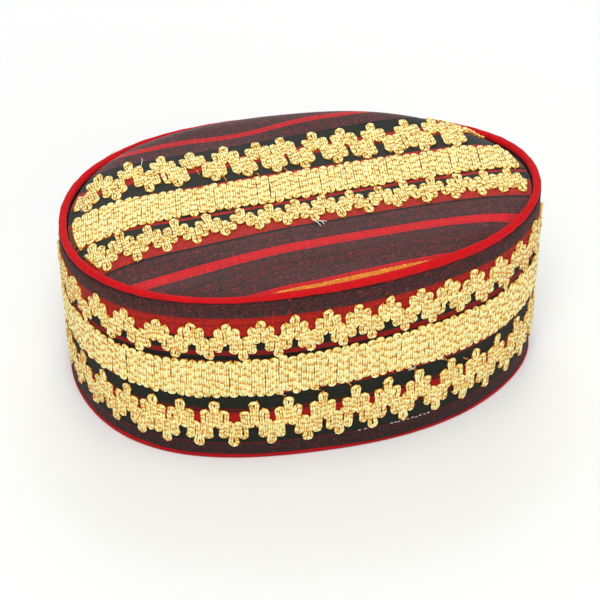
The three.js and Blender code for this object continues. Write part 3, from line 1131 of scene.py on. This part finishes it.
def clump_paths(band):
    """Every clump of a zigzag, and the stray tails of its cord."""
    paths = []
    for x, flip in clump_places(band):
        lean = chance.normal(band.get("lean", 0.0), CLUMP_PLAY["lean"])
        squeeze = chance.normal(band["squeeze"], CLUMP_PLAY["squeeze"])
        path = clump_path(flip, band["up"] if flip > 0 else band["down"], band["cord"], lean, squeeze)
        path[:, 0] += x
        taller = band.get("fan", 0.0) * ease((LEFT_SPREAD["zigzag_from"] - path[:, 0]) / LEFT_SPREAD["run"])
        path[:, 1] = path[:, 1] * (1 + taller) + band["middle"] * taller
        paths.append((path, flip))
    return paths + [(tail_path(*tail), -1) for tail in band.get("tails", [])]


def whole_band_path(band):
    """A wide band: right round the wall, or along the crown."""
    if band["on"] is on_wall:
        return band_path(0.0, PERIMETER, lambda x: band["half"], band["cord"])

    def half(x):
        spread = ease((LEFT_SPREAD["band_from"] - x) / LEFT_SPREAD["run"])
        return band["half"] + LEFT_SPREAD["by"] * spread

    return band_path(band["from"], band["to"], half, band["cord"])


def gold_piece(name, band):
    """The doubled cord of a band or a zigzag, and the stitches that tie it down."""
    cords, ties = [], []
    for path, flip in clump_paths(band) if "tips" in band else [(whole_band_path(band), -1)]:
        lift = UNEVEN_LIFT["height"] * np.sin(path[:, 0] * UNEVEN_LIFT["along"] + UNEVEN_LIFT["start"])
        lift = lift * np.sin(path[:, 1] * UNEVEN_LIFT["across"])
        if flip > 0:
            lift = lift + OVERLAP["height"] * ease(OVERLAP["from"] - path[:, 1] / OVERLAP["run"])
        places = tie_places(path, band["tie"])
        cords += pair_lines(band, path, lift, tied(path, places, min(PINCH_REACH, band["tie"] / 2)))
        ties.append(tie_line(band, path, lift, places))
    cord = band["cord"] * MM
    piece = grow(name + "_cord", CORD_TREE, cords, STRAND_LAYERS, Radius=0.58 * cord, Sides=6, Material=GOLD)
    finish(piece, "gold_cord", name)
    stitches = grow(name + "_ties", TIE_TREE, ties, ["surface_normal", "run"], Width=2.0 * cord, Turn=0.3,
                    Height=1.25 * cord, Thread=0.33 * MM, Tilt=0.45, Seed=len(name), Material=TIE)
    finish(stitches, "gold_cord")
    return [piece, stitches]


# ---- Loose ends and stitches ----

# Threads on the wall: distance round the rim and fraction of its height, from end to end.
WALL_TAILS = [
    [(410.4, 0.432), (411.6, 0.418), (412.8, 0.404)], [(425.6, 0.435), (427.0, 0.424), (427.9, 0.41)],
    [(439.8, 0.436), (440.9, 0.422), (441.6, 0.405)], [(469.2, 0.432), (470.6, 0.424), (471.9, 0.408)],
    [(484.6, 0.436), (485.9, 0.42), (486.8, 0.404)], [(495.6, 0.38), (496.8, 0.372), (498.4, 0.362)],
]
WALL_ENDS_OF_THREAD = [
    [(467.8, 0.418), (468.6, 0.436), (469.3, 0.452)], [(468.2, 0.42), (469.9, 0.433), (471.6, 0.44)],
    [(483.0, 0.44), (484.2, 0.43), (484.9, 0.42)],
]

# A row of white stitches low on the wall: where each starts, how long it is, its height and its play,
# and how quickly the play of its two ends changes along the row.
WHITE_STITCHES = [445.2, 448.0, 460.3, 462.0, 463.6, 466.0, 467.9, 470.2, 472.1, 474.0, 476.2, 478.0]
STITCH = {"length": 1.1, "height": 0.106, "play": 0.003, "ends": (2.3, 1.7)}
LOOSE_LIFT = 0.15

# Threads on the crown: millimetres along and across, from end to end.
CROWN_TAILS = [
    [(-45.5, 25), (-44.6, 23.2), (-43.6, 21.6)], [(-33.6, 18), (-32.6, 16.4), (-31.8, 14.8)],
    [(-18.6, 18), (-17.4, 16.4), (-16.8, 14.6)], [(-5.6, 19), (-4.6, 17.3), (-3.8, 15.4)],
]
CROWN_ENDS_OF_THREAD = [
    [(3.4, -18.6), (5.2, -20.4), (7.6, -20.9), (9.6, -20.2)], [(4.2, -19.2), (5.6, -22.0), (6.6, -23.0)],
    [(6.0, -19.6), (8.2, -22.0)], [(-83.6, 49.4), (-81.8, 51.4), (-80.4, 51.0)],
    [(-69.6, 33.0), (-68.8, 36.0), (-69.4, 38.6)], [(-97.4, 8.0), (-95.8, 10.2), (-95.2, 12.2)],
]


def loose_ends(name, wall_ends, crown_ends, radius, material, slot, rise=1.0):
    """Short free ends of thread that stand a little off the cloth."""
    lines = []
    surfaces = [above_wall] * len(wall_ends) + [above_crown] * len(crown_ends)
    for surface, places in zip(surfaces, wall_ends + crown_ends):
        part = np.linspace(0, len(places) - 1, 4 * len(places))
        path = along_line(part, np.arange(len(places)), np.array(places, float))
        arch = LOOSE_LIFT + rise * np.sin(math.pi * part / part[-1])
        place, normal = surface(path, arch)
        lines.append((place, normal, np.ones(len(path)), np.zeros(len(path))))
    piece = grow(name, CORD_TREE, lines, STRAND_LAYERS, Radius=radius * MM, Sides=5, Material=material)
    finish(piece, slot)


def loose_threads():
    stitches = []
    for start in WHITE_STITCHES:
        low, high = (STITCH["height"] + STITCH["play"] * math.sin(start * pace) for pace in STITCH["ends"])
        stitches.append([(start, low), (start + STITCH["length"], high)])
    loose_ends("orange_tails", WALL_TAILS, CROWN_TAILS, 0.26, TIE, "gold_cord")
    loose_ends("white_ends", WALL_ENDS_OF_THREAD, CROWN_ENDS_OF_THREAD, 0.2, WHITE, "striped_cloth")
    loose_ends("white_stitches", stitches, [], 0.17, WHITE, "striped_cloth", rise=0.1)


# ---- Camera, floor and light ----

# Where the camera and each light stand: azimuth and elevation in degrees, and how far off in metres.
CAMERA_PLACE = (-5.954, 39.855, 0.78455)
CAMERA_TARGET = [-0.10, 0.03, 31.68]
CAMERA_LENS = 100.64
LIGHTS = [
    {"name": "key", "place": (-11, 58, 2.2), "size": 1.1, "power": 28.4},
    {"name": "fill", "place": (15, 24, 2.6), "size": 1.4, "power": 10.3},
    {"name": "back", "place": (175, 45, 1.5), "size": 1.0, "power": 6.4},
]
LIGHT_TARGET = (0, 0, 0.05)
WORLD_STRENGTH = 0.57
FLOOR_CORNERS = [(-3, -3, 0), (3, -3, 0), (3, 3, 0), (-3, 3, 0)]


def aimed(name, data, target, azimuth, elevation, distance):
    """A camera or a light that looks at a target from a direction."""
    thing = new_object(name, data)
    a, e = math.radians(azimuth), math.radians(elevation)
    back = Vector((math.sin(a) * math.cos(e), -math.cos(a) * math.cos(e), math.sin(e)))
    thing.location = Vector(target) + back * distance
    thing.rotation_euler = back.to_track_quat("Z", "Y").to_euler()
    return thing


def set_camera():
    camera = bpy.data.cameras.new("camera")
    camera.lens = CAMERA_LENS
    camera.sensor_width = 36
    bpy.context.scene.camera = aimed("camera", camera, to_frame(CAMERA_TARGET), *CAMERA_PLACE)


def set_floor():
    mesh = bpy.data.meshes.new("floor")
    mesh.from_pydata(FLOOR_CORNERS, [], [(0, 1, 2, 3)])
    material, _, _ = new_material("pale_floor", {"Base Color": srgb(233, 234, 233), "Roughness": 0.9})
    mesh.materials.append(material)
    new_object("floor", mesh)


def set_light():
    world = bpy.data.worlds.new("studio")
    world.use_nodes = True
    sky = world.node_tree.nodes["Background"]
    sky.inputs[0].default_value = (1, 1, 1, 1)
    sky.inputs[1].default_value = WORLD_STRENGTH
    bpy.context.scene.world = world
    bpy.context.scene.view_settings.view_transform = "Standard"
    for row in LIGHTS:
        light = bpy.data.lights.new(row["name"], "AREA")
        light.size = row["size"]
        light.energy = row["power"]
        aimed(row["name"], light, LIGHT_TARGET, *row["place"])


# ---- Assembly ----

set_camera()
set_floor()
set_light()
wall, crown = wall_cloth(), crown_cloth()
finish(wall, "striped_cloth", "side_band")
finish(crown, "striped_cloth", "crown")
finish(fold_ring("piping", piping_section, PIPING_RED), "red_piping", "top_piping")
finish(fold_ring("binding", binding_section, BINDING_RED), "red_binding", "bottom_binding")
gold = {name: gold_piece(name, band) for name, band in BANDS.items()}
loose_threads()
